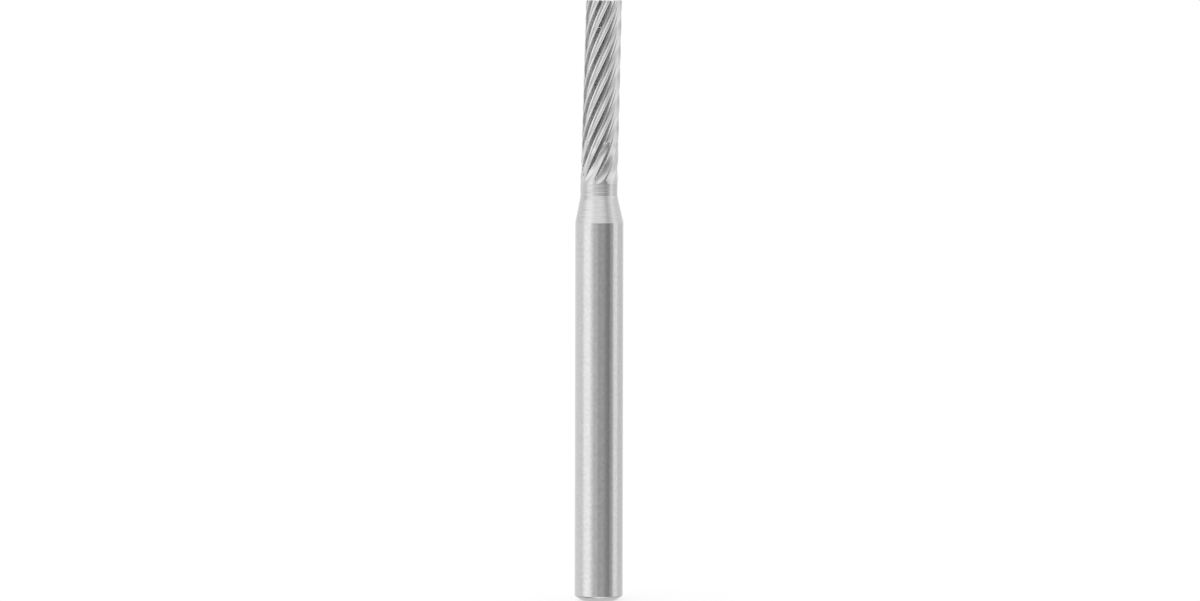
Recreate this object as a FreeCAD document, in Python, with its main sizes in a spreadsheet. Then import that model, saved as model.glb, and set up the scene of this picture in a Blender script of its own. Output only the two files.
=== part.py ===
import FreeCAD, Part
import math
import os

import Sketcher

# Miniature cylindrical carbide burr: shank, cone, neck and fluted head ground from one 3 mm rod.
# Frame: millimetres and degrees, origin at the centre of the shank's end face, +Z towards the
# tip. -Y is the side that faces the viewer, and the head leans a little towards +X.

SIZES = {
    # Rod, with the chamfered end that goes into the collet
    "shank_diameter": 3.0,
    "shank_length": 23.55,
    "end_chamfer_inset": 0.39,
    "end_chamfer_height": 0.28,
    # Cone and neck, whose axis leans off the rod's axis from the cone's foot
    "cone_length": 1.66,
    "neck_length": 0.3,
    "neck_relief": 0.015,
    "blend_radius": 3.0,
    "grinding_lean": 1.04,
    # Head, with a plain collar below its flutes
    "head_lean": 1.45,
    "head_root_diameter": 2.31,
    "head_tip_diameter": 2.24,
    "collar_length": 0.5,
    "fluted_length": 11.32,
    # Flutes, and the cutting edges between them
    "flute_count": 10,
    "flute_lead": 15.76,
    "flute_phase": 14.2,
    "flute_depth": 0.32,
    "edge_width": 0.012,
    "runout_length": 1.0,
    # Corners of one flute: how far each is below the cutting edges, and its angle from the first
    "rake_foot_drop": 0.31,
    "rake_foot_angle": 1.2,
    "gullet_angle": 3.2,
    "wall_top_drop": 0.035,
    "wall_top_angle": 14,
    "shoulder_drop": 0.055,
    "shoulder_angle": 17,
    "groove_drop": 0.12,
    "groove_angle": 20,
    "land_drop": 0.033,
    "land_angle": 23,
    # How far a cutting profile reaches past the metal that it cuts
    "cutter_room": 0.2,
}

# Sizes that follow from those above
WORKED_OUT = {
    "shank_radius": "=shank_diameter / 2",
    "root_radius": "=head_root_diameter / 2",
    "tip_radius": "=head_tip_diameter / 2",
    "neck_radius": "=root_radius - neck_relief",
    "cone_top": "=shank_length + cone_length",
    "cone_slope": "=(shank_radius - neck_radius) / cone_length",
    "head_base": "=cone_top + neck_length",
    "head_length": "=collar_length + fluted_length",
    "head_shift": "=-tan(grinding_lean) * (head_base - shank_length)",
    "overall_length": "=head_base + head_length",
    "head_taper": "=atan((root_radius - tip_radius) / head_length)",
    "edge_radius": "=root_radius - collar_length * tan(head_taper)",
    "gullet_floor_radius": "=edge_radius - flute_depth - runout_length * tan(head_taper)",
    "tooth_angle": "=360 / flute_count - edge_width / edge_radius * 180 / pi",
}

document = FreeCAD.newDocument("carbide_burr")
sheet = document.addObject("Spreadsheet::Sheet", "Sizes")

# The point of a sketch's line or arc that a constraint holds, and the sketch's own axes
START, END, CENTRE = 1, 2, 3
AXIS = -1
UPRIGHT_AXIS = -2


def fill_sheet():
    """Gives every size and every worked-out size its own named cell."""
    for row, (name, value) in enumerate({**SIZES, **WORKED_OUT}.items(), start=1):
        sheet.set(f"A{row}", name)
        sheet.set(f"B{row}", str(value))
        sheet.setAlias(f"B{row}", name)
    document.recompute()


def value_of(formula):
    """What a formula on the sheet's cells comes to, as a plain number."""
    result = sheet.evalExpression(formula)
    return float(getattr(result, "Value", result))


def polar(radius, degrees):
    turn = FreeCAD.Rotation(FreeCAD.Vector(0, 0, 1), degrees)
    return turn.multVec(FreeCAD.Vector(radius, 0, 0))


def new_sketch(body, name, plane):
    sketch = body.newObject("Sketcher::SketchObject", name)
    planes = [feature for feature in body.Origin.OriginFeatures if feature.Role == plane]
    sketch.AttachmentSupport = [(planes[0], "")]
    sketch.MapMode = "FlatFace"
    return sketch


def join(sketch, *constraints):
    for constraint in constraints:
        sketch.addConstraint(Sketcher.Constraint(*constraint))


def drive(sketch, name, formula, *constraint):
    """Adds a constraint whose value follows a formula on the sheet."""
    value = value_of(formula)
    if constraint[0] == "Angle":
        value = math.radians(value)
    index = sketch.addConstraint(Sketcher.Constraint(*constraint, value))
    sketch.renameConstraint(index, name)
    sketch.setExpression(f"Constraints.{name}", formula)


def turned_body(name, corners):
    """A body turned about Z. Each corner is (name, radius, height), with None for zero."""
    body = document.addObject("PartDesign::Body", name)
    outline = new_sketch(body, f"{name}_outline", "XZ_Plane")
    points = [FreeCAD.Vector(value_of(radius or "0"), value_of(height or "0"), 0)
              for _, radius, height in corners]
    for line, point in enumerate(points):
        following = points[(line + 1) % len(points)]
        outline.addGeometry(Part.LineSegment(point, following), False)
    for line, (corner, radius, height) in enumerate(corners):
        following = (line + 1) % len(points)
        join(outline, ("Coincident", line, END, following, START))
        if radius is None:
            join(outline, ("PointOnObject", line, START, UPRIGHT_AXIS))
        else:
            drive(outline, f"{corner}_radius", radius, "DistanceX", AXIS, START, line, START)
        if height is None:
            join(outline, ("PointOnObject", line, START, AXIS))
        else:
            drive(outline, f"{corner}_height", height, "DistanceY", AXIS, START, line, START)
    turning = body.newObject("PartDesign::Revolution", f"{name}_turning")
    turning.Profile = outline
    turning.ReferenceAxis = (outline, ["V_Axis"])
    turning.Angle = 360
    document.recompute()
    return body


def circle_at(shape, radius, height):
    """The name of the shape's circular edge of this radius at this height."""
    for number, edge in enumerate(shape.Edges, start=1):
        if isinstance(edge.Curve, Part.Circle):
            offset = max(abs(edge.Curve.Radius - radius), abs(edge.Curve.Center.z - height))
            if offset < 1e-4:
                return f"Edge{number}"
    raise ValueError(f"no circular edge of radius {radius} at height {height}")


def make_rod():
    """The plain rod that everything is ground from, from its chamfered end to the flat tip."""
    return turned_body("rod", [
        ("end_centre", None, None),
        ("end_rim", "Sizes.shank_radius - Sizes.end_chamfer_inset", None),
        ("chamfer_top", "Sizes.shank_radius", "Sizes.end_chamfer_height"),
        ("tip_rim", "Sizes.shank_radius", "Sizes.overall_length"),
        ("tip_centre", None, "Sizes.overall_length"),
    ])


def make_ground_form():
    """What grinding leaves below the head: a cone that starts wider than the rod, a blend and a
    neck that ends inside the head's collar."""
    top = "Sizes.head_base + Sizes.collar_length / 2"
    body = turned_body("ground_form", [
        ("low_centre", None, None),
        ("low_rim", "Sizes.shank_radius + Sizes.cutter_room", None),
        ("cone_foot", "Sizes.shank_radius + Sizes.cutter_room",
         "Sizes.shank_length - Sizes.cutter_room / Sizes.cone_slope"),
        ("cone_top", "Sizes.neck_radius", "Sizes.cone_top"),
        ("neck_top", "Sizes.neck_radius", top),
        ("top_centre", None, top),
    ])
    turning = body.Tip
    corner = circle_at(turning.Shape, value_of("Sizes.neck_radius"), value_of("Sizes.cone_top"))
    blend = body.newObject("PartDesign::Fillet", "blend")
    blend.Base = (turning, [corner])
    blend.setExpression("Radius", "Sizes.blend_radius")
    foot_x = "Sizes.shank_length * sin(Sizes.grinding_lean)"
    foot_z = "Sizes.shank_length * (1 - cos(Sizes.grinding_lean))"
    lean = "rotation(vector(0; 1; 0); -Sizes.grinding_lean)"
    body.setExpression("Placement", f"placement(vector({foot_x}; 0; {foot_z}); {lean})")
    return body


def draw_flute(body):
    """The cross-section of one flute, from a cutting edge on the X axis round to the next edge."""
    sketch = new_sketch(body, "flute_outline", "XY_Plane")
    sketch.setExpression("AttachmentOffset.Base.z", "Sizes.collar_length")

    # Each corner's distance from the axis and its angle, from the rake round to the land
    corners = [
        ("rake_foot", "Sizes.edge_radius - Sizes.rake_foot_drop", "Sizes.rake_foot_angle"),
        ("gullet", "Sizes.edge_radius - Sizes.flute_depth", "Sizes.gullet_angle"),
        ("wall_top", "Sizes.edge_radius - Sizes.wall_top_drop", "Sizes.wall_top_angle"),
        ("shoulder", "Sizes.edge_radius - Sizes.shoulder_drop", "Sizes.shoulder_angle"),
        ("groove", "Sizes.edge_radius - Sizes.groove_drop", "Sizes.groove_angle"),
        ("land", "Sizes.edge_radius - Sizes.land_drop", "Sizes.land_angle"),
        ("next_edge", "Sizes.edge_radius", "Sizes.tooth_angle"),
    ]
    points = [polar(value_of(distance), value_of(angle)) for _, distance, angle in corners]

    # First positions for the outside, near enough for the constraints to settle on this form
    outer_radius = value_of("Sizes.edge_radius + Sizes.cutter_room")
    tooth_angle = value_of("Sizes.tooth_angle")
    outer_start = polar(outer_radius, 0)
    outer_middle = polar(outer_radius, tooth_angle * 0.7)
    outer_end = polar(outer_radius, tooth_angle * 1.4)

    rake = 0
    sketch.addGeometry(Part.LineSegment(points[0], outer_start), False)
    for near, far in zip(points[:-2], points[1:-1]):
        sketch.addGeometry(Part.LineSegment(near, far), False)
    land = len(corners) - 1
    sketch.addGeometry(Part.LineSegment(points[-2], outer_end), False)
    outside = land + 1
    sketch.addGeometry(Part.Arc(outer_start, outer_middle, outer_end), False)
    edge_point = outside + 1
    sketch.addGeometry(Part.Point(polar(value_of("Sizes.edge_radius"), 0)), True)
    join(sketch, ("Coincident", rake, START, rake + 1, START))
    for line in range(rake + 1, land):
        join(sketch, ("Coincident", line, END, line + 1, START))
    join(
        sketch,
        ("Coincident", rake, END, outside, START),
        ("Coincident", land, END, outside, END),
        ("Coincident", outside, CENTRE, AXIS, START),
        ("PointOnObject", edge_point, START, AXIS),
        ("PointOnObject", edge_point, START, rake),
    )
    drive(sketch, "edge_radius", "Sizes.edge_radius", "DistanceX", AXIS, START, edge_point, START)
    drive(sketch, "outer_radius", "Sizes.edge_radius + Sizes.cutter_room", "Radius", outside)

    # A spoke from the axis holds each corner
    for line, (corner, distance, angle) in enumerate(corners):
        spoke = sketch.addGeometry(Part.LineSegment(FreeCAD.Vector(), points[line]), True)
        join(sketch, ("Coincident", spoke, START, AXIS, START))
        if corner == "next_edge":
            join(sketch, ("PointOnObject", spoke, END, land))
        else:
            join(sketch, ("Coincident", spoke, END, line + 1, START))
        drive(sketch, f"{corner}_distance", distance, "Distance", spoke)
        drive(sketch, f"{corner}_angle", angle, "Angle", spoke)
    document.recompute()
    return sketch


def make_head():
    """The tapered head with its ring of flutes above a plain collar. It is a little longer than
    needed, so that the rod's flat tip ends it."""
    body = turned_body("head", [
        ("base_centre", None, None),
        ("base_rim", "Sizes.root_radius", None),
        ("top_rim", "Sizes.tip_radius", "Sizes.head_length + Sizes.cutter_room"),
        ("top_centre", None, "Sizes.head_length + Sizes.cutter_room"),
    ])
    outline = draw_flute(body)
    flute = body.newObject("PartDesign::SubtractiveHelix", "flute")
    flute.Profile = outline
    flute.ReferenceAxis = (outline, ["N_Axis"])
    flute.Mode = "pitch-height-angle"
    flute.setExpression("Pitch", "Sizes.flute_lead")
    flute.setExpression("Height", "Sizes.fluted_length + 2 * Sizes.cutter_room")
    flute.setExpression("Angle", "-Sizes.head_taper")
    document.recompute()
    ring = body.newObject("PartDesign::PolarPattern", "flute_ring")
    ring.Originals = [flute]
    ring.Axis = (outline, ["N_Axis"])
    ring.Angle = 360
    ring.setExpression("Occurrences", "Sizes.flute_count")
    body.Tip = ring
    place_on_neck(body)
    return body


def make_runout_core():
    """What stays where the wheel leaves the metal: a core that flares out to the collar, so that
    each flute loses its depth towards its end."""
    foot = "Sizes.collar_length / 2"
    body = turned_body("runout_core", [
        ("foot_centre", None, foot),
        ("foot_rim", "Sizes.neck_radius", foot),
        ("collar_rim", "Sizes.neck_radius", "Sizes.collar_length"),
        ("full_depth_rim", "Sizes.gullet_floor_radius", "Sizes.collar_length + Sizes.runout_length"),
        ("full_depth_centre", None, "Sizes.collar_length + Sizes.runout_length"),
    ])
    place_on_neck(body)
    return body


def place_on_neck(body):
    """Turns a body to the flutes' phase and stands it on the neck, leaning towards +X."""
    base = "vector(Sizes.head_shift; 0; Sizes.head_base)"
    lean = "rotation(vector(0; 1; 0); Sizes.head_lean)"
    phase = "rotation(vector(0; 0; 1); Sizes.flute_phase - 90)"
    body.setExpression("Placement", f"placement({base}; {lean} * {phase})")


def combine(kind, name, base, tool):
    result = document.addObject(kind, name)
    result.Label = name
    result.Base = base
    result.Tool = tool
    return result


def check_document():
    """Stops on any failed object and on any shape that is empty or not valid."""
    document.recompute()
    for item in document.Objects:
        if {"Invalid", "Error"} & set(item.State):
            raise ValueError(f"{item.Label} failed: {item.getStatusString()}")
        if item.isDerivedFrom("PartDesign::Feature") or item.isDerivedFrom("Part::Boolean"):
            if item.Shape.isNull() or not item.Shape.isValid():
                raise ValueError(f"{item.Label} has no valid shape")


fill_sheet()
fluted_head = combine("Part::Fuse", "fluted_head", make_head(), make_runout_core())
ground_shape = combine("Part::Fuse", "ground_shape", make_ground_form(), fluted_head)
burr = combine("Part::Common", "burr", make_rod(), ground_shape)
check_document()

os.makedirs("parts", exist_ok=True)
burr.Shape.exportStep(f"parts/{burr.Label}.step")

box = burr.Shape.BoundBox
print(f"{burr.Label}: {len(burr.Shape.Solids)} solid, {len(burr.Shape.Faces)} faces")
print(f"{box.XLength:.3f} x {box.YLength:.3f} x {box.ZLength:.3f} mm, {burr.Shape.Volume:.3f} cubic mm")
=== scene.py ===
import math

import bpy
from mathutils import Matrix, Vector, noise


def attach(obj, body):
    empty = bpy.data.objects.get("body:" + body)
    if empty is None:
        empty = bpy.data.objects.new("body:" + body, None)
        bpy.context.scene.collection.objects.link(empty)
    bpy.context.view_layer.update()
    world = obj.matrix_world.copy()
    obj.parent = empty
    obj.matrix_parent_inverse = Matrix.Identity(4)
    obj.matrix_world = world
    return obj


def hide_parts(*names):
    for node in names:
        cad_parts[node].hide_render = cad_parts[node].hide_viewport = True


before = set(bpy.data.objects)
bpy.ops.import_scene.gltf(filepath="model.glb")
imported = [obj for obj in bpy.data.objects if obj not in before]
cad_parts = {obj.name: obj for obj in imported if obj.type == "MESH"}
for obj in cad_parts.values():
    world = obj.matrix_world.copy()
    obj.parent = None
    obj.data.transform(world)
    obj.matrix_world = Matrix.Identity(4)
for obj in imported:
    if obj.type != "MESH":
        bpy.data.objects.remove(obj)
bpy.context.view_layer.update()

# Carbide burr on its shank end, in the frame of the CAD: sizes here are in millimetres and degrees,
# and build_piece turns them into metres. -Y faces the viewer and the head leans towards +X.
MM = 0.001

# Rod and its chamfered end
SHANK_RADIUS = 1.5
END_RADIUS = 1.11
END_CHAMFER_HEIGHT = 0.28
END_EDGE_ROUND = 0.05

# Cone, blend and neck, ground about an axis that leans towards -X from the cone's foot
GRINDING_LEAN = 1.04
NECK_RADIUS = 1.14
CONE_FOOT = 23.55
CONE_TOP = 25.21
CONE_SLOPE = 0.2169
BLEND_RADIUS = 3.0
HEAD_BASE = 25.51

# The length of the soft step from the collar down to the thinner neck
COLLAR_STEP = 0.25

# Head. Its tip is ground square to the rod, and TIP_RISE brings it to the burr's full height
HEAD_LEAN = 1.45
ROOT_RADIUS = 1.155
TIP_RADIUS = 1.12
HEAD_LENGTH = 11.8
TIP_RISE = 0.02
TIP_CHAMFER = 0.03

# Flutes, with FLUTE_PHASE at PHASE_HEIGHT, from the side that faces the viewer
FLUTE_COUNT = 10
TOOTH_PITCH = 360 / FLUTE_COUNT
FLUTE_LEAD = 15.76
FLUTE_PHASE = -0.1
VIEWER_SIDE = -90
PHASE_HEIGHT = 1.45
FLUTE_DEPTH = 0.32
EDGE_WIDTH = 0.012

# Degrees from a cutting edge to the ridge between its gullet and the shallow second groove
RIDGE = 14

# One tooth in section, from its cutting edge round to the next edge: depth below the cutting
# edges, degrees round from the edge, and how many steps the mesh takes to the next corner. The
# section can't be seen end on. It is an estimate, matched to the light and dark along the flutes
# by a search, then rounded and partly changed
TOOTH = [
    (0, 0, 3),
    (0.24, 1.1, 2),
    (FLUTE_DEPTH, 2.2, 3),
    (0.205, 6.6, 2),
    (0.115, 10.2, 3),
    (0.03, RIDGE, 2),
    (0.058, 17, 2),
    (0.12, 20, 2),
    (0.033, 23, 3),
    (0.006, 29, 2),
    (0.018, 33, 2),
]

# The wheels' way out of each flute. The deep gullet narrows to a point, the shallow second groove
# ends higher up, on one tooth lower down, and a flat facet across the whole tooth goes on to a
# rounded end on the collar. Each END pair is the height on the head where a cut ends, and the
# height that it takes to come to full depth. In FACET_FADE the facet gives way to the section
COLLAR_LENGTH = 0.5
GULLET_END = (0.65, 1.3)
SECOND_END = (2.0, 1.1)
LONG_SECOND_TOOTH = 8
LONG_SECOND_END = (0.3, 0.6)
FACET_END = (0.47, 0.75)
FACET_FADE = (2.2, 3.4)
FACET_MIDDLE = 17.5
FACET_HALF = 17.0

# One speck of swarf pressed into a gullet, from its cutting edge to SWARF_SIDE degrees round
SWARF_TOOTH = 4
SWARF_HEIGHT = 10.14
SWARF_LENGTH = 0.15
SWARF_DEPTH = 0.12
SWARF_SIDE = 9

# Two stretches of small chips in the cutting edges: tooth, lower and upper height on the head,
# and depth. The chips wander along the edge and in size, and fade out within so many degrees on
# the rake face and on the land
CHIPPED = [(0, 1.3, 3.1, 0.014), (9, 3.7, 4.4, 0.012)]
CHIP_SPACING = 0.14
CHIP_WANDERS_PER_MM = 5
CHIP_SHIFT = 4
CHIP_SHARE = 0.7
CHIP_LAYER = 0.3
RAKE_WEAR = 1
LAND_WEAR = 5

# Wheel marks round the collar, neck and cone: height on the axis, depth of the groove (a ridge
# is negative) and width
WHEEL_MARKS = [
    (25.83, 0.0028, 0.055),
    (25.58, 0.0034, 0.055),
    (25.42, 0.0026, 0.060),
    (25.34, -0.0020, 0.055),
    (25.23, 0.0034, 0.060),
    (24.56, -0.0028, 0.060),
    (24.41, -0.0028, 0.055),
    (24.33, 0.0034, 0.055),
    (23.97, -0.0028, 0.060),
    (23.70, -0.0028, 0.060),
]

# The waviness between the marks, and the share of the way down the cone where both fade out
WAVINESS = 0.0012
WAVES_PER_MM = 14
WAVE_PLACE = (3.1, 7.7)
MARKS_FADE = 0.98

# The mesh's rings. The first three are at and just below the tip. Their spacing is wide along
# plain flutes, closer along the run-outs, and closest at the speck and on the collar
TIP_DROPS = (0, 0.006, TIP_CHAMFER)
RING_SPACING = 0.09
RUNOUT_SPACING = 0.037
FINE_SPACING = 0.025
RUNOUT_TOP = 4.5
COLLAR_TOP = COLLAR_LENGTH - 0.03
RING_GAP = 0.01
NECK_STEPS = 110

# Below the cone's slanting edge the rings turn level by these shares of the way to LEVEL_HEIGHT.
# The last ones stand close above the chamfer, so that its rounding doesn't tint the rod
LEVEL_HEIGHT = 22.9
LEVEL_SHARES = (0.02, 0.2, 1)
ROD_HEIGHTS = (18, 13, 8, 4, 1.5, 0.5, 0.36, 0.34)
ROUND_STEPS = 5

# Faces that meet at a steeper angle than this have a crisp edge between them
CRISP_ANGLE = 28


# Shapes

def polar(radius, degrees):
    angle = math.radians(degrees)
    return Vector((radius * math.cos(angle), radius * math.sin(angle)))


def ring_point(radius, angle, height, shift=0):
    """A point on a ring, at an angle in radians, round an axis that is shifted along X."""
    return Vector((radius * math.cos(angle) + shift, radius * math.sin(angle), height))


def run_of_points(start, end, count):
    """Points from start towards end, without end itself."""
    return [start.lerp(end, step / count) for step in range(count)]


def spaced(start, end, step):
    """Values from start towards end, about a step apart, without end itself."""
    count = max(1, round(abs(end - start) / step))
    return [start + (end - start) * index / count for index in range(count)]


def clamp(share):
    return min(max(share, 0), 1)


def smooth_step(value, low, high):
    share = clamp((value - low) / (high - low))
    return share * share * (3 - 2 * share)


def head_radius(height):
    """The radius of the head's cutting edges, or of its plain collar, above the head's base."""
    return ROOT_RADIUS + (TIP_RADIUS - ROOT_RADIUS) * height / HEAD_LENGTH


def grinding_shift(height):
    """Where the leaning axis of the cone and neck is along X at this height."""
    return -math.tan(math.radians(GRINDING_LEAN)) * (height - CONE_FOOT)


def ground_radius(height):
    """The radius that grinding leaves below the head: neck, blend and cone."""
    half_angle = math.atan(CONE_SLOPE) / 2
    blend_top = CONE_TOP + BLEND_RADIUS * math.tan(half_angle)
    blend_foot = blend_top - BLEND_RADIUS * math.sin(2 * half_angle)
    if height >= blend_top:
        return NECK_RADIUS
    if height > blend_foot:
        drop = blend_top - height
        return NECK_RADIUS + BLEND_RADIUS - math.sqrt(BLEND_RADIUS ** 2 - drop ** 2)
    return NECK_RADIUS + (CONE_TOP - height) * CONE_SLOPE


def wheel_mark(height):
    """How deep the grinding wheel has marked the surface at this height."""
    depth = WAVINESS * noise.noise(Vector((*WAVE_PLACE, height * WAVES_PER_MM)))
    for centre, mark_depth, width in WHEEL_MARKS:
        depth += mark_depth * math.exp(-((height - centre) / (width / 2)) ** 2)
    return depth


def tooth_section():
    """One tooth in section at full depth, as (depth, degrees)."""
    radius = head_radius(PHASE_HEIGHT)
    next_edge = TOOTH_PITCH - math.degrees(EDGE_WIDTH / radius)
    corners = TOOTH + [(0, next_edge, 1)]
    points = []
    for (depth, degrees, steps), (next_depth, next_degrees, _) in zip(corners, corners[1:]):
        start = polar(radius - depth, degrees)
        end = polar(radius - next_depth, next_degrees)
        points += run_of_points(start, end, steps)
    points.append(polar(radius, next_edge))
    return [(radius - point.length, math.degrees(math.atan2(point.y, point.x)))
            for point in points]


def cut_lift(tooth, height, degrees):
    """How far the wheel has lifted out of the deep gullet, or out of the second groove."""
    if degrees < RIDGE:
        end, rise = GULLET_END
    elif tooth == LONG_SECOND_TOOTH:
        end, rise = LONG_SECOND_END
    else:
        end, rise = SECOND_END
    return FLUTE_DEPTH * (1 - clamp((height - end) / rise))


def facet_depth(height, degrees):
    """How deep the flat facet lies under the round surface: nothing below its rounded end."""
    end, rise = FACET_END
    radius = head_radius(height)
    across = math.radians(degrees - FACET_MIDDLE)
    half_width = math.radians(FACET_HALF)
    chord = radius * (1 - math.cos(half_width) / math.cos(across))
    deepest = radius * (1 - math.cos(half_width))
    lift = deepest * (1 - clamp((height - end) / rise)) ** 2
    return (chord - lift) * (1 - smooth_step(height, *FACET_FADE))


def swarf_floor(tooth, height, degrees):
    """How deep the gullet is left here by the speck of swarf in it."""
    if tooth != SWARF_TOOTH or degrees > SWARF_SIDE:
        return FLUTE_DEPTH
    return SWARF_DEPTH + FLUTE_DEPTH * abs((height - SWARF_HEIGHT) / SWARF_LENGTH * 2) ** 3


def edge_wear(tooth, height):
    """How much of a tooth's cutting edge is chipped away at this height."""
    lost = 0
    for chipped_tooth, low, high, depth in CHIPPED:
        if tooth == chipped_tooth and low < height < high:
            wander = noise.noise(Vector((height * CHIP_WANDERS_PER_MM, tooth, CHIP_LAYER)))
            chip = math.sin(2 * math.pi * height / CHIP_SPACING + CHIP_SHIFT * wander)
            lost = depth * max(0, chip) * (CHIP_SHARE + wander)
    return max(lost, 0)


def cut_depth(tooth, height, depth, degrees):
    """How deep a tooth is cut and worn here, from its depth in the full section."""
    cut = max(depth - cut_lift(tooth, height, degrees), facet_depth(height, degrees), 0)
    cut = min(cut, swarf_floor(tooth, height, degrees))
    if degrees < TOOTH_PITCH / 2:
        worn = edge_wear(tooth, height) * clamp(1 - degrees / RAKE_WEAR)
    else:
        next_tooth = (tooth + 1) % FLUTE_COUNT
        worn = edge_wear(next_tooth, height) * clamp(1 - (TOOTH_PITCH - degrees) / LAND_WEAR)
    return max(cut, worn)


def head_heights():
    """Heights of the head's rings, from the tip down to the head's base."""
    swarf_top = SWARF_HEIGHT + SWARF_LENGTH
    swarf_foot = SWARF_HEIGHT - SWARF_LENGTH
    stretches = [
        (HEAD_LENGTH - 2 * TIP_CHAMFER, swarf_top, RING_SPACING),
        (swarf_top, swarf_foot, FINE_SPACING),
        (swarf_foot, RUNOUT_TOP, RING_SPACING),
        (RUNOUT_TOP, COLLAR_TOP, RUNOUT_SPACING),
        (COLLAR_TOP, RING_GAP, FINE_SPACING),
    ]
    heights = [HEAD_LENGTH - drop for drop in TIP_DROPS]
    for start, end, spacing in stretches:
        heights += spaced(start, end, spacing)
    return heights


def head_rings():
    """Rings from the tip down to the head's base: teeth, run-outs and collar."""
    section = tooth_section()
    lean = Matrix.Rotation(math.radians(HEAD_LEAN), 3, "Y")
    base = Vector((grinding_shift(HEAD_BASE), 0, HEAD_BASE))
    rings = []
    for height in head_heights():
        turned = (max(height, COLLAR_LENGTH) - PHASE_HEIGHT) * 360 / FLUTE_LEAD
        limit = head_radius(height) - max(0, height - (HEAD_LENGTH - TIP_CHAMFER))
        if height < COLLAR_LENGTH:
            limit -= wheel_mark(HEAD_BASE + height)
        ring = []
        for tooth in range(FLUTE_COUNT):
            for depth, degrees in section:
                depth = cut_depth(tooth, height, depth, degrees)
                angle = FLUTE_PHASE + VIEWER_SIDE + turned + tooth * TOOTH_PITCH + degrees
                point = polar(min(head_radius(height) - depth, limit), angle)
                ring.append(base + lean @ Vector((point.x, point.y, height)))
        rings.append(ring)
    # The tip is ground square to the rod, not to the leaning head
    top = HEAD_BASE + HEAD_LENGTH + TIP_RISE
    for ring, drop in zip(rings, TIP_DROPS):
        for point in ring:
            point.z = top - drop
    return rings


def neck_rings(collar_ring):
    """Rings from below the head down to the edge where the cone meets the rod."""
    shift = grinding_shift(HEAD_BASE)
    angles = [math.atan2(point.y, point.x - shift) for point in collar_ring]
    slant = math.tan(math.radians(HEAD_LEAN)) * NECK_RADIUS
    rings = []
    for step in range(NECK_STEPS + 1):
        share = step / NECK_STEPS
        ring = []
        for angle in angles:
            top = HEAD_BASE - RING_GAP - slant * math.cos(angle)
            height = top + (CONE_FOOT - top) * share
            marks = wheel_mark(height) * (1 - smooth_step(share, MARKS_FADE, 1))
            step_left = 1 - smooth_step(top - height, 0, COLLAR_STEP)
            radius = ground_radius(height) - marks + (ROOT_RADIUS - NECK_RADIUS) * step_left
            ring.append(ring_point(radius, angle, height, grinding_shift(height)))
        rings.append(ring)
    return rings


def rounded_corner(before, corner, after):
    """Points that round a corner of the end's outline."""
    corner = Vector(corner)
    start = corner + (Vector(before) - corner).normalized() * END_EDGE_ROUND
    end = corner + (Vector(after) - corner).normalized() * END_EDGE_ROUND
    points = []
    for step in range(ROUND_STEPS + 1):
        share = step / ROUND_STEPS
        point = start * (1 - share) ** 2 + corner * 2 * share * (1 - share) + end * share ** 2
        points.append((point.x, point.y))
    return points


def rod_rings(edge_ring):
    """Rings from just below the cone's edge down to the chamfered end."""
    angles = [math.atan2(point.y, point.x) for point in edge_ring]
    rings = []
    for share in LEVEL_SHARES:
        ring = []
        for point, angle in zip(edge_ring, angles):
            height = point.z + (LEVEL_HEIGHT - point.z) * share
            ring.append(ring_point(SHANK_RADIUS, angle, height))
        rings.append(ring)
    above = (SHANK_RADIUS, 1)
    chamfer_top = (SHANK_RADIUS, END_CHAMFER_HEIGHT)
    chamfer_foot = (END_RADIUS, 0)
    outline = [(SHANK_RADIUS, height) for height in ROD_HEIGHTS]
    outline += rounded_corner(above, chamfer_top, chamfer_foot)
    outline += rounded_corner(chamfer_top, chamfer_foot, (0, 0))
    for radius, height in outline:
        rings.append([ring_point(radius, angle, height) for angle in angles])
    return rings


def build_piece(name, rings, materials, material_of):
    """A closed mesh through the rings, from the top one down, with a flat face at each end."""
    around = len(rings[0])
    points = [tuple(point * MM) for ring in rings for point in ring]
    faces = [tuple(range(around))]
    slots = [material_of(0)]
    for row in range(len(rings) - 1):
        first = row * around
        for index in range(around):
            following = (index + 1) % around
            faces.append((first + index, first + around + index,
                          first + around + following, first + following))
            slots.append(material_of(row))
    last = (len(rings) - 1) * around
    faces.append(tuple(last + index for index in reversed(range(around))))
    slots.append(material_of(len(rings)))
    mesh = bpy.data.meshes.new(name)
    mesh.from_pydata(points, [], faces)
    for material in materials:
        mesh.materials.append(material)
    mesh.polygons.foreach_set("material_index", slots)
    mesh.polygons.foreach_set("use_smooth", [True] * len(faces))
    mesh.set_sharp_from_angle(angle=math.radians(CRISP_ANGLE))
    mesh.validate()
    piece = bpy.data.objects.new(name, mesh)
    bpy.context.scene.collection.objects.link(piece)
    return piece


# Finishes

# A colour mix node's two inputs and its output
COLOUR_A, COLOUR_B, COLOUR_MIX = 6, 7, 2

# How many finer layers a pattern has, and how strong they are in the scratches
PATTERN_DETAIL = 3.0
SCRATCH_ROUGHNESS = 0.6

# How far the scratches change the roughness, and the turn that lays the smear across them
LESS_ROUGH = 0.85
MORE_ROUGH = 1.15
QUARTER_TURN = 0.25


def srgb(hex_colour):
    """An sRGB hex colour as the linear RGBA that a shader takes."""
    channels = [int(hex_colour[index:index + 2], 16) / 255 for index in (1, 3, 5)]
    return [c / 12.92 if c <= 0.04045 else ((c + 0.055) / 1.055) ** 2.4 for c in channels] + [1.0]


def add_node(tree, kind, settings=None, links=None):
    """Adds a node. settings go to its properties or, by name or number, to its input sockets;
    links join other nodes' outputs to its inputs."""
    node = tree.nodes.new(kind)
    for name, value in (settings or {}).items():
        if isinstance(name, str) and hasattr(node, name):
            setattr(node, name, value)
        else:
            node.inputs[name].default_value = value
    for name, output in (links or {}).items():
        tree.links.new(output, node.inputs[name])
    return node


def new_material(name):
    material = bpy.data.materials.new(name)
    material.use_nodes = True
    material.node_tree.nodes.clear()
    return material, material.node_tree


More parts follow.
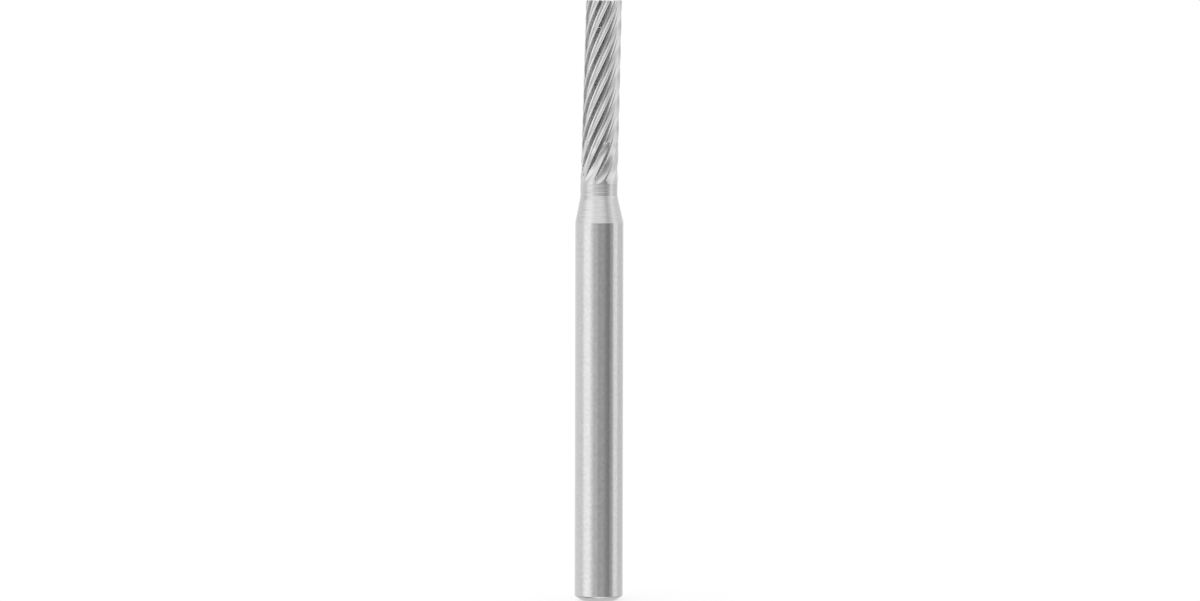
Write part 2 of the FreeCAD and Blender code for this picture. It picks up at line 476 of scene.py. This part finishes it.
def ground_carbide(name, colour, roughness, anisotropy, scratch, patch, mottle):
    """Sintered tungsten carbide, ground with diamond wheels: a hard mid-grey metal with a satin
    shine that fine wheel scratches smear across their own direction. scratch is the length round
    the burr, the width along it and the height of the scratches. patch is the size round and along
    the burr of paler and darker patches, and mottle is how much they differ."""
    scratch_length, scratch_width, scratch_height = scratch
    patch_round, patch_along = patch
    material, tree = new_material(name)
    place = add_node(tree, "ShaderNodeTexCoord")
    marks = add_node(tree, "ShaderNodeMapping",
                     {"Scale": (1, 1, scratch_length / scratch_width)},
                     {"Vector": place.outputs["Object"]})
    scratches = add_node(tree, "ShaderNodeTexNoise",
                         {"Scale": 1 / (scratch_length * MM), "Detail": PATTERN_DETAIL,
                          "Roughness": SCRATCH_ROUGHNESS},
                         {"Vector": marks.outputs[0]})
    grain = add_node(tree, "ShaderNodeMapping", {"Scale": (1, 1, patch_round / patch_along)},
                     {"Vector": place.outputs["Object"]})
    cloud = add_node(tree, "ShaderNodeTexNoise",
                     {"Scale": 1 / (patch_round * MM), "Detail": PATTERN_DETAIL},
                     {"Vector": grain.outputs[0]})
    tone = add_node(tree, "ShaderNodeMapRange", {"To Min": 1 - mottle, "To Max": 1 + mottle},
                    {"Value": cloud.outputs["Fac"]})
    shade = add_node(tree, "ShaderNodeMix",
                     {"data_type": "RGBA", "blend_type": "MULTIPLY", 0: 1.0,
                      COLOUR_A: srgb(colour)},
                     {COLOUR_B: tone.outputs[0]})
    rough = add_node(tree, "ShaderNodeMapRange",
                     {"To Min": roughness * LESS_ROUGH, "To Max": roughness * MORE_ROUGH},
                     {"Value": scratches.outputs["Fac"]})
    bump = add_node(tree, "ShaderNodeBump", {"Strength": 1.0, "Distance": scratch_height * MM},
                    {"Height": scratches.outputs["Fac"]})
    tangent = add_node(tree, "ShaderNodeTangent", {"direction_type": "RADIAL", "axis": "Z"})
    shader = add_node(
        tree, "ShaderNodeBsdfPrincipled",
        {"Metallic": 1.0, "Anisotropic": anisotropy, "Anisotropic Rotation": QUARTER_TURN},
        {"Base Color": shade.outputs[COLOUR_MIX], "Roughness": rough.outputs[0],
         "Normal": bump.outputs[0], "Tangent": tangent.outputs[0]})
    add_node(tree, "ShaderNodeOutputMaterial", None, {"Surface": shader.outputs[0]})
    return material


# A pixel of the render is about 0.06 mm. A fine diamond wheel's scratches are some 0.005 mm wide
# and the carbide's grains some 0.001 mm, both too fine to show, so both are drawn coarser below.

# Sintered tungsten carbide, centreless ground: bands of light stay crisp round the rod and blur
# along it, because the scratches run round. They are drawn 0.083 mm wide and 0.67 mm long, and the
# grain as patches of 0.2 mm
shank_finish = ground_carbide("carbide_centreless_ground", "#c7c7c7", 0.15, 0.4,
                              (2 / 3, 1 / 12, 0.0003), (0.2, 0.2), 0.14)
# The same carbide, plunge ground: coarser rings, so light spreads further up and down. They are
# drawn 0.056 mm wide and 0.67 mm long, and the grain as bands of 1 mm by 0.067 mm
neck_finish = ground_carbide("carbide_plunge_ground", "#c7c7c7", 0.22, 0.6,
                             (2 / 3, 1 / 18, 0.0006), (1, 1 / 15), 0.1)
# The same carbide, flute ground: fine satin faces, faintly uneven. Its colour is painted a little
# lighter than on the rod and neck, a painted brightening of the gullets where the teeth shade each
# other. The wheel crosses the faces at a slant, and its scratches are drawn as unevenness of
# 0.17 mm, and the grain as patches of 0.2 mm
lighter_painted_flute_finish = ground_carbide("carbide_flute_ground_painted_lighter", "#cdcdcd", 0.21, 0.0,
                              (1 / 6, 1 / 6, 0.0002), (0.2, 0.2), 0.04)


# The burr

teeth = head_rings()
neck = neck_rings(teeth[-1])
rod = rod_rings(neck[-1])
collar_row = next(row for row, ring in enumerate(teeth) if ring[0].z - HEAD_BASE < COLLAR_LENGTH)


def finish_of(row):
    """The number of the finish below this ring: 0 on the flutes, 1 on the collar, neck and cone,
    2 on the rod."""
    if row < collar_row:
        return 0
    return 1 if row < len(teeth) + len(neck) - 1 else 2


finishes = [lighter_painted_flute_finish, neck_finish, shank_finish]
burr = build_piece("ground_burr", teeth + neck + rod, finishes, finish_of)
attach(burr, "root")
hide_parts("burr")


# Studio

FLOOR_HALF = 3000 * MM

# How much of the floor's white is its own, so that it meets the backdrop. The rest is lit, and
# keeps the shadow
FLOOR_GLOW = 0.75


def make_floor():
    """A plain white floor that stays white to the eye and keeps a soft shadow. The burr doesn't
    mirror it: in the photo the undersides of the teeth are dark."""
    material, tree = new_material("matt_white_card")
    rays = add_node(tree, "ShaderNodeLightPath")
    seen = add_node(tree, "ShaderNodeMath", {"operation": "MAXIMUM"},
                    {0: rays.outputs["Is Camera Ray"], 1: rays.outputs["Is Transmission Ray"]})
    share = add_node(tree, "ShaderNodeMath", {"operation": "MULTIPLY", 1: FLOOR_GLOW},
                     {0: seen.outputs[0]})
    card = add_node(tree, "ShaderNodeBsdfDiffuse", {"Color": srgb("#fafafa")})
    white = add_node(tree, "ShaderNodeEmission", {"Color": srgb("#ffffff"), "Strength": 1.0})
    lit = add_node(tree, "ShaderNodeMixShader", None,
                   {0: share.outputs[0], 1: card.outputs[0], 2: white.outputs[0]})
    clear = add_node(tree, "ShaderNodeBsdfTransparent")
    both = add_node(tree, "ShaderNodeMixShader", None,
                    {0: rays.outputs["Is Glossy Ray"], 1: lit.outputs[0], 2: clear.outputs[0]})
    add_node(tree, "ShaderNodeOutputMaterial", None, {"Surface": both.outputs[0]})
    corners = [(-FLOOR_HALF, -FLOOR_HALF, 0), (FLOOR_HALF, -FLOOR_HALF, 0),
               (FLOOR_HALF, FLOOR_HALF, 0), (-FLOOR_HALF, FLOOR_HALF, 0)]
    mesh = bpy.data.meshes.new("floor")
    mesh.from_pydata(corners, [], [(0, 1, 2, 3)])
    mesh.materials.append(material)
    floor = bpy.data.objects.new("floor", mesh)
    bpy.context.scene.collection.objects.link(floor)
    return floor


# How bright the studio is round the burr, in degrees from the viewer's side, positive to the
# right, where 1 is the white backdrop: from steeply below it, through level with it, to above it.
# LEVEL and ABOVE began as readings of the bands of light on the shank and cone in the photo. The
# others began as a least squares fit to the flutes. All were thinned, rounded and partly changed
BELOW = [
    (-180, 0.88), (-120, 0.8), (-100, 0.4), (-84, 0.2), (-50, 0.25), (-24, 1.2), (0, 1.5),
    (24, 1.4), (40, 0.95), (60, 0.75), (84, 0.8), (96, 0.5), (110, 0.55), (135, 0.85), (180, 0.88),
]
JUST_BELOW = [
    (-180, 0.95), (-110, 0.9), (-92, 0.45), (-76, 0.65), (-50, 1.1), (-24, 1.4), (10, 1.45),
    (24, 1.5), (36, 1.5), (50, 1.15), (66, 0.75), (96, 0.42), (110, 0.75), (180, 0.9),
]
LEVEL = [
    (-180, 1.0), (-88, 1.0), (-72, 1.4), (-48, 1.42), (-38, 1.1), (-24, 0.7), (-8, 0.65),
    (-4, 0.48), (18, 0.48), (35, 0.31), (51, 0.26), (54, 0.48), (64, 0.5), (76, 1.12), (93, 1.2),
    (102, 0.9), (140, 0.85), (180, 1.0),
]
JUST_ABOVE = [
    (-180, 1.0), (-140, 0.92), (-112, 0.8), (-92, 0.4), (-60, 0.55), (-40, 1.0), (-22, 1.5),
    (-8, 1.5), (4, 1.2), (24, 0.75), (36, 0.75), (60, 1.05), (84, 1.4), (100, 1.45), (120, 1.05),
    (180, 1.0),
]
ABOVE = [
    (-180, 1.05), (-110, 1.1), (-90, 1.2), (-72, 1.46), (-48, 1.44), (-24, 1.12), (12, 1.15),
    (30, 1.0), (46, 0.68), (62, 0.88), (80, 1.2), (100, 0.92), (130, 0.88), (180, 1.0),
]
BRIGHTEST = 1.5

# Between which two heights, in degrees above level, each layer takes over from the one below it
LAYERS = [(-24, -15, JUST_BELOW), (-13, -8, LEVEL), (3, 9, JUST_ABOVE), (8, 14, ABOVE)]

# How nearly straight back a mirrored ray has to go, as its share along Y, to meet the backdrop
BACKDROP_EDGE = (0.9, 0.97)


def make_world():
    """A soft studio: white behind, a tall lamp at the left and a narrow one at the right. Level
    with the burr, the viewer's side is a dark slot between brighter light above and below."""
    world = bpy.data.worlds.new("soft_studio")
    world.use_nodes = True
    tree = world.node_tree
    tree.nodes.clear()
    place = add_node(tree, "ShaderNodeTexCoord")
    axes = add_node(tree, "ShaderNodeSeparateXYZ", None, {0: place.outputs["Generated"]})
    towards = add_node(tree, "ShaderNodeMath", {"operation": "MULTIPLY", 1: -1.0},
                       {0: axes.outputs["Y"]})
    azimuth = add_node(tree, "ShaderNodeMath", {"operation": "ARCTAN2"},
                       {0: axes.outputs["X"], 1: towards.outputs[0]})
    share = add_node(tree, "ShaderNodeMapRange", {"From Min": -math.pi, "From Max": math.pi},
                     {"Value": azimuth.outputs[0]})

    def ramp_of(stops):
        ramp = add_node(tree, "ShaderNodeValToRGB", None, {"Fac": share.outputs[0]})
        elements = ramp.color_ramp.elements
        while len(elements) < len(stops):
            elements.new(0.5)
        for element, (degrees, brightness) in zip(elements, stops):
            element.position = (degrees + 180) / 360
            element.color = [brightness / BRIGHTEST] * 3 + [1]
        return ramp.outputs["Color"]

    def height_share(start, end):
        node = add_node(tree, "ShaderNodeMapRange",
                        {"interpolation_type": "SMOOTHSTEP",
                         "From Min": math.sin(math.radians(start)),
                         "From Max": math.sin(math.radians(end))},
                        {"Value": axes.outputs["Z"]})
        return node.outputs[0]

    room = ramp_of(BELOW)
    for start, end, stops in LAYERS:
        mix = add_node(tree, "ShaderNodeMix", {"data_type": "RGBA"},
                       {0: height_share(start, end), COLOUR_A: room, COLOUR_B: ramp_of(stops)})
        room = mix.outputs[COLOUR_MIX]
    light = add_node(tree, "ShaderNodeBackground", {"Strength": BRIGHTEST}, {"Color": room})
    white = add_node(tree, "ShaderNodeBackground", {"Color": srgb("#ffffff"), "Strength": 1.0})
    rays = add_node(tree, "ShaderNodeLightPath")
    edge_start, edge_end = BACKDROP_EDGE
    behind = add_node(tree, "ShaderNodeMapRange", {"From Min": edge_start, "From Max": edge_end},
                      {"Value": axes.outputs["Y"]})
    mirrored = add_node(tree, "ShaderNodeMath", {"operation": "MULTIPLY"},
                        {0: rays.outputs["Is Glossy Ray"], 1: behind.outputs[0]})
    direct = add_node(tree, "ShaderNodeMath", {"operation": "MAXIMUM"},
                      {0: rays.outputs["Is Camera Ray"], 1: rays.outputs["Is Transmission Ray"]})
    backdrop = add_node(tree, "ShaderNodeMath", {"operation": "MAXIMUM"},
                        {0: direct.outputs[0], 1: mirrored.outputs[0]})
    seen = add_node(tree, "ShaderNodeMixShader", None,
                    {0: backdrop.outputs[0], 1: light.outputs[0], 2: white.outputs[0]})
    add_node(tree, "ShaderNodeOutputWorld", None, {"Surface": seen.outputs[0]})
    bpy.context.scene.world = world


# Camera: a long lens, a little above the tip, tilted down at the middle of the burr
CAMERA_DISTANCE = 394.7
CAMERA_HEIGHT = 39.4
PIXELS_PER_MM = 16.09
IMAGE_WIDTH = 1200
SENSOR_WIDTH = 36
AIM = (0.05, 0, 18.69)
ROLL = 0.11
FARTHEST_SEEN = 100


def make_camera():
    data = bpy.data.cameras.new("camera")
    data.sensor_fit = "HORIZONTAL"
    data.sensor_width = SENSOR_WIDTH
    camera = bpy.data.objects.new("camera", data)
    place = Vector((AIM[0], -CAMERA_DISTANCE, CAMERA_HEIGHT))
    aim = Vector(AIM) - place
    data.lens = PIXELS_PER_MM * aim.length * data.sensor_width / IMAGE_WIDTH
    data.clip_end = FARTHEST_SEEN
    turn = aim.to_track_quat("-Z", "Y").to_matrix() @ Matrix.Rotation(math.radians(ROLL), 3, "Z")
    camera.matrix_world = Matrix.Translation(place * MM) @ turn.to_4x4()
    bpy.context.scene.collection.objects.link(camera)
    bpy.context.scene.camera = camera


make_floor()
make_world()
make_camera()
bpy.context.scene.view_settings.view_transform = "Standard"
